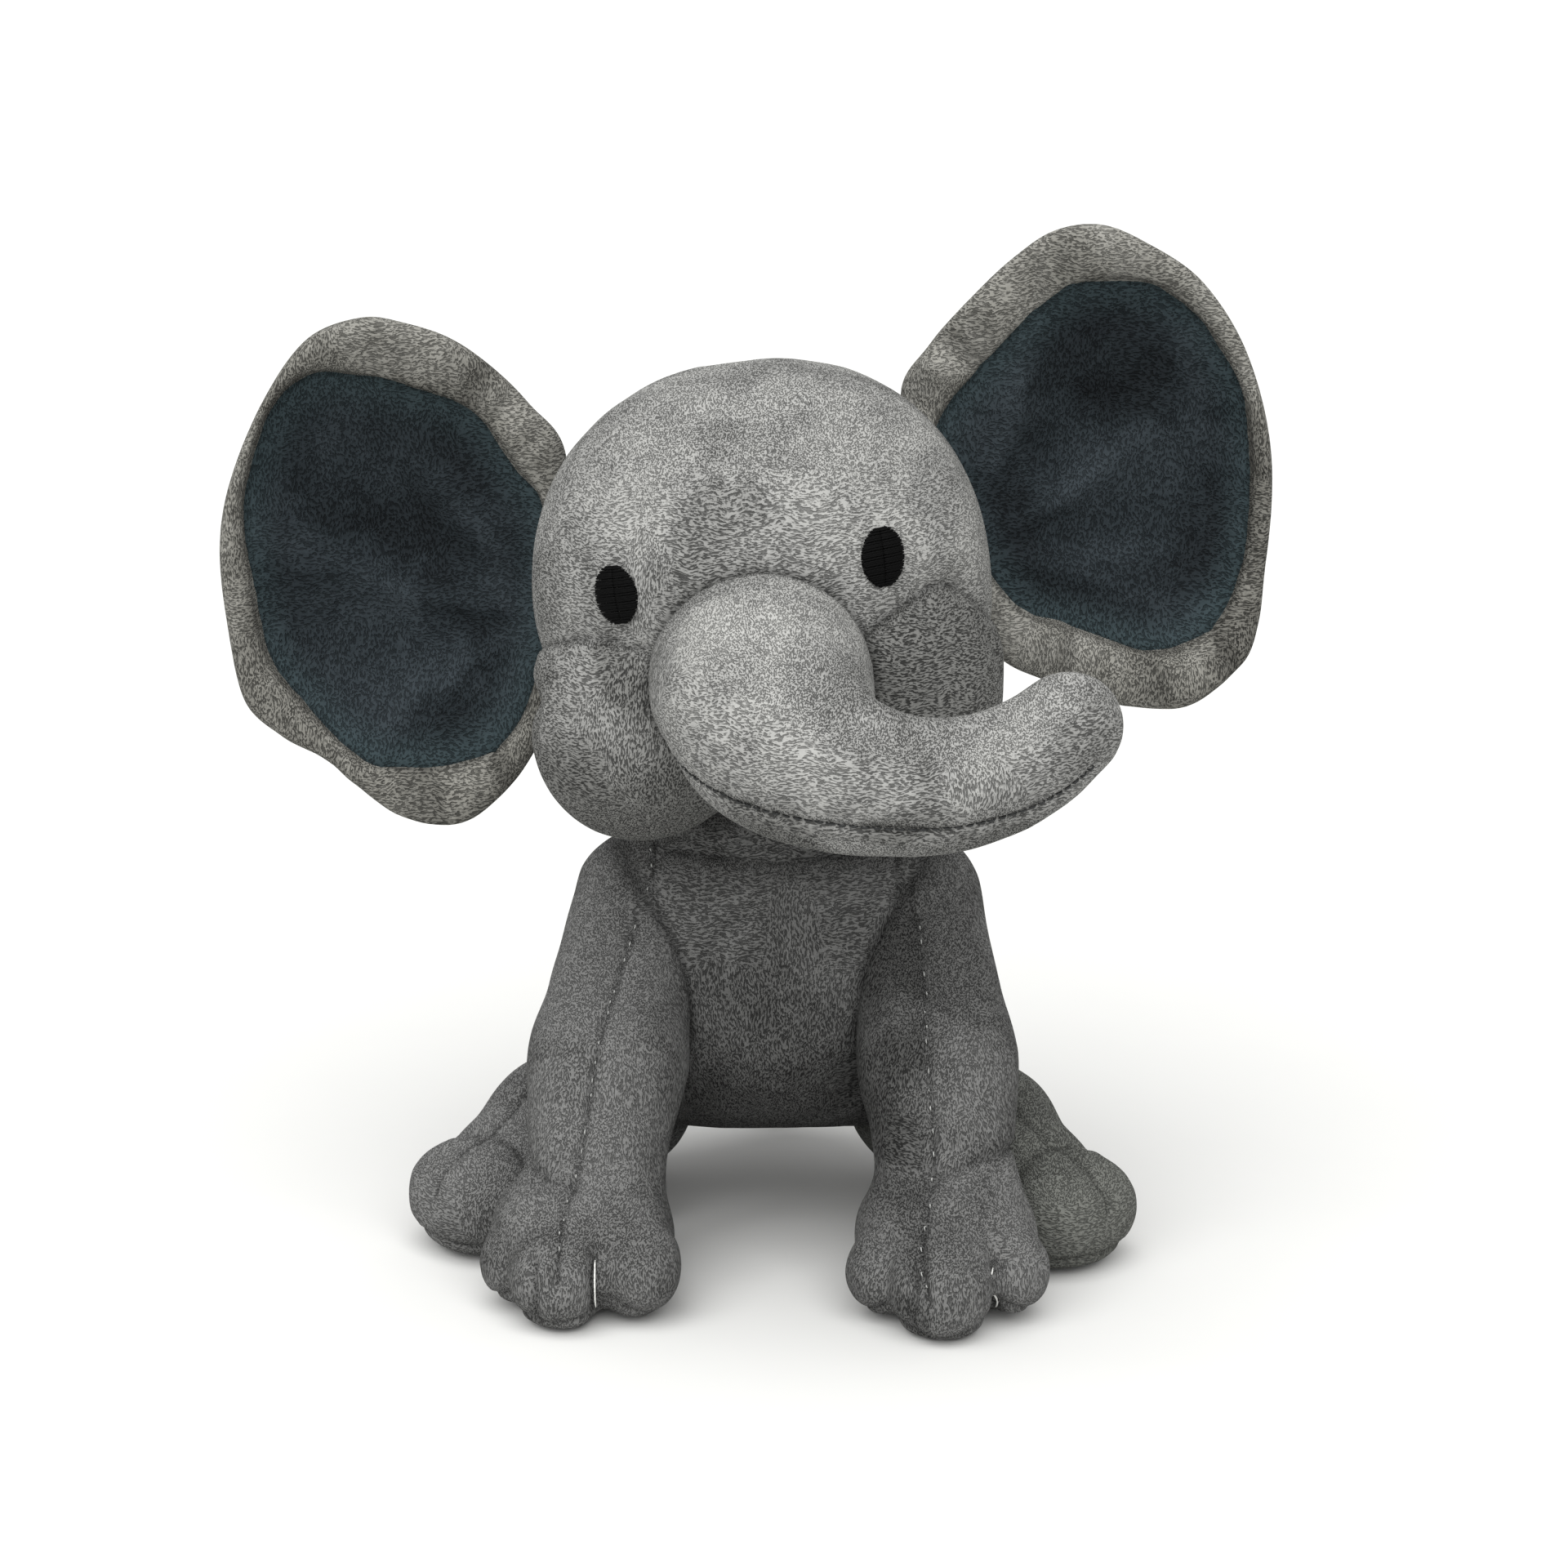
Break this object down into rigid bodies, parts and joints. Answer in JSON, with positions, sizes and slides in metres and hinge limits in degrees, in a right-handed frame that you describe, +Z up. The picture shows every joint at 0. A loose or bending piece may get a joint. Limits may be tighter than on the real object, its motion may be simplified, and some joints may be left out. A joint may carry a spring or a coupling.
{
  "type": "stuffed elephant toy",
  "caption": "Soft pile-fabric elephant that sits on its feet, with a raised trunk curled to one side, large lined ears and embroidered eyes.",
  "frame": {"origin": "bottom centre of the bounding box, on the floor that the soles rest on", "axes": "+Z up, the face looks along -Y, +X is towards the raised trunk tip"},
  "size_m": [0.2718, 0.2094, 0.2654],
  "materials": {
    "plush_pale": "short pile, pale warm grey",
    "plush_grey": "short pile, mid grey",
    "plush_dark": "short pile, dark grey",
    "lining": "smooth short pile, dark blue-grey",
    "fibrefill": "loose white fibre",
    "thread_black": "satin-stitched black thread",
    "thread_pale": "pale sewing thread"
  },
  "bodies": {
    "torso": {"belly_panel": "plush_grey", "side_panel_left": "plush_grey", "side_panel_right": "plush_grey", "seat_panel": "plush_dark", "body_stuffing": "fibrefill", "closing_stitches": "thread_pale"},
    "neck": {"neck_stuffing": "fibrefill"},
    "neck_collar": {"neck_band": "plush_grey"},
    "head": {"face_panel": "plush_pale", "cheek_panel_left": "plush_grey", "cheek_panel_right": "plush_dark", "chin_panel": "plush_grey", "head_back_left": "plush_grey", "head_back_right": "plush_grey", "head_stuffing": "fibrefill", "eye_left": "thread_black", "eye_right": "thread_black"},
    "trunk": {"trunk_upper_panel": "plush_pale", "trunk_under_panel": "plush_grey", "trunk_stuffing": "fibrefill"},
    "trunk_tip": {"trunk_tip_upper_panel": "plush_pale", "trunk_tip_under_panel": "plush_grey", "trunk_tip_stuffing": "fibrefill"},
    "ear_left": {"ear_left_outer": "plush_grey", "ear_left_lining": "lining", "ear_left_wadding": "fibrefill"},
    "ear_right": {"ear_right_outer": "plush_grey", "ear_right_lining": "lining", "ear_right_wadding": "fibrefill"},
    "front_leg_left": {"front_leg_left_outer_panel": "plush_grey", "front_leg_left_inner_panel": "plush_grey", "front_leg_left_sole": "plush_dark", "front_leg_left_stuffing": "fibrefill", "front_leg_left_toe_stitches": "thread_pale"},
    "front_leg_right": {"front_leg_right_outer_panel": "plush_grey", "front_leg_right_inner_panel": "plush_grey", "front_leg_right_sole": "plush_dark", "front_leg_right_stuffing": "fibrefill", "front_leg_right_toe_stitches": "thread_pale"},
    "hind_leg_left": {"hind_leg_left_upper_panel": "plush_grey", "hind_leg_left_under_panel": "plush_dark", "hind_leg_left_sole": "plush_dark", "hind_leg_left_stuffing": "fibrefill"},
    "hind_leg_right": {"hind_leg_right_upper_panel": "plush_grey", "hind_leg_right_under_panel": "plush_dark", "hind_leg_right_sole": "plush_dark", "hind_leg_right_stuffing": "fibrefill"},
    "tail": {"tail_skin": "plush_grey", "tail_stuffing": "fibrefill"}
  },
  "joints": [
    {"name": "head_turn", "type": "hinge", "parent": "torso", "child": "neck", "pos_m": [0.00503, 0.02394, 0.09], "axis": [0, 0, 1], "range_deg": [-15, 15], "stiffness_Nm_per_rad": 2},
    {"name": "head_tilt", "type": "hinge", "parent": "neck", "child": "neck_collar", "pos_m": [0.00503, 0.02394, 0.09], "axis": [0, 1, 0], "range_deg": [-8, 8], "stiffness_Nm_per_rad": 3},
    {"name": "head_nod", "type": "hinge", "parent": "neck_collar", "child": "head", "pos_m": [0.00503, 0.02394, 0.09], "axis": [1, 0, 0], "range_deg": [-8, 8], "stiffness_Nm_per_rad": 3},
    {"name": "trunk_swing", "type": "hinge", "parent": "head", "child": "trunk", "pos_m": [0.00299, -0.05206, 0.157], "axis": [0, 0, 1], "range_deg": [-15, 15], "stiffness_Nm_per_rad": 0.4},
    {"name": "trunk_curl", "type": "hinge", "parent": "trunk", "child": "trunk_tip", "pos_m": [0.05217, -0.08806, 0.14472], "axis": [0, -1, 0], "range_deg": [-20, 20], "stiffness_Nm_per_rad": 0.1},
    {"name": "ear_left_fold", "type": "hinge", "parent": "head", "child": "ear_left", "pos_m": [-0.06002, 0.01994, 0.16632], "axis": [0.0872, 0, 0.9962], "range_deg": [-20, 45], "stiffness_Nm_per_rad": 0.1},
    {"name": "ear_right_fold", "type": "hinge", "parent": "head", "child": "ear_right", "pos_m": [0.06297, 0.01994, 0.1836], "axis": [0.3584, 0, -0.9336], "range_deg": [-20, 45], "stiffness_Nm_per_rad": 0.1},
    {"name": "front_leg_left_swing", "type": "hinge", "parent": "torso", "child": "front_leg_left", "pos_m": [-0.03697, 0.00794, 0.09], "axis": [-1, 0, 0], "range_deg": [-3, 20], "stiffness_Nm_per_rad": 3},
    {"name": "front_leg_right_swing", "type": "hinge", "parent": "torso", "child": "front_leg_right", "pos_m": [0.04703, 0.00794, 0.09], "axis": [-1, 0, 0], "range_deg": [-3, 20], "stiffness_Nm_per_rad": 3},
    {"name": "hind_leg_left_spread", "type": "hinge", "parent": "torso", "child": "hind_leg_left", "pos_m": [-0.02897, 0.04994, 0.0228], "axis": [0, 0, -1], "range_deg": [-3, 12], "stiffness_Nm_per_rad": 3},
    {"name": "hind_leg_right_spread", "type": "hinge", "parent": "torso", "child": "hind_leg_right", "pos_m": [0.03903, 0.04994, 0.0228], "axis": [0, 0, 1], "range_deg": [-3, 12], "stiffness_Nm_per_rad": 3},
    {"name": "tail_lift", "type": "hinge", "parent": "torso", "child": "tail", "pos_m": [0.00503, 0.09814, 0.04], "axis": [1, 0, 0], "range_deg": [0, 60], "stiffness_Nm_per_rad": 0.02}
  ]
}
